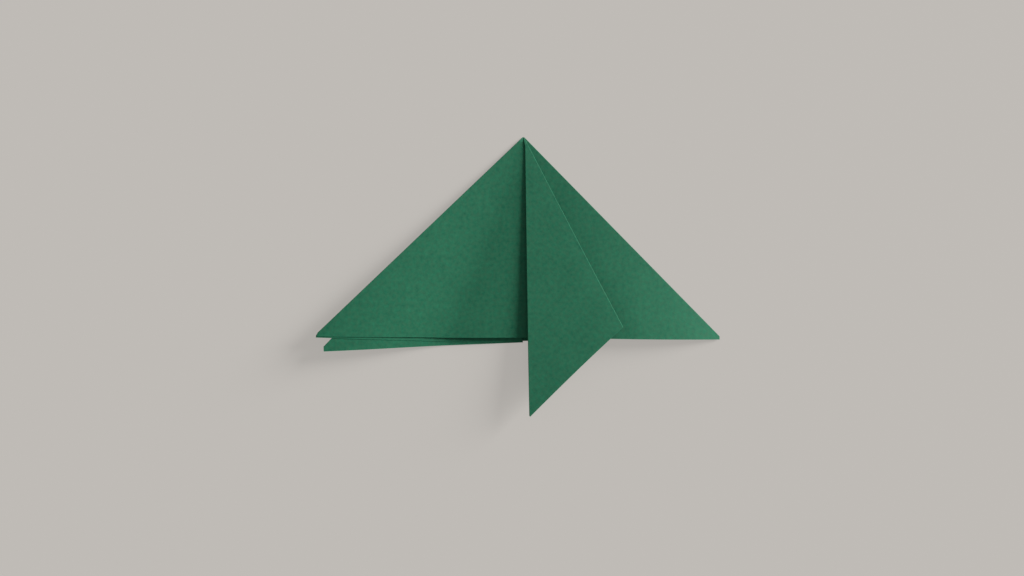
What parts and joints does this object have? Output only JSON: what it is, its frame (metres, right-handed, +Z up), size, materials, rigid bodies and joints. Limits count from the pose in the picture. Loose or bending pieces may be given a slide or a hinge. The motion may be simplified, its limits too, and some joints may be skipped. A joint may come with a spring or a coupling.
{
  "type": "origami tree",
  "caption": "Square green paper sheet folded into a flat triangular tree base, with its right front flap turned in to the centre line; it lies flat on its back.",
  "frame": {"origin": "on the underside of the back panel, halfway down its centre line", "axes": "+Z up from the table, +Y from the origin to the apex, +X to the side of the turned-in flap"},
  "size_m": [0.1506, 0.1042, 0.007],
  "materials": {
    "paper": "matt green paper, dyed right through"
  },
  "bodies": {
    "root": {"folded_sheet": "paper"}
  },
  "joints": []
}
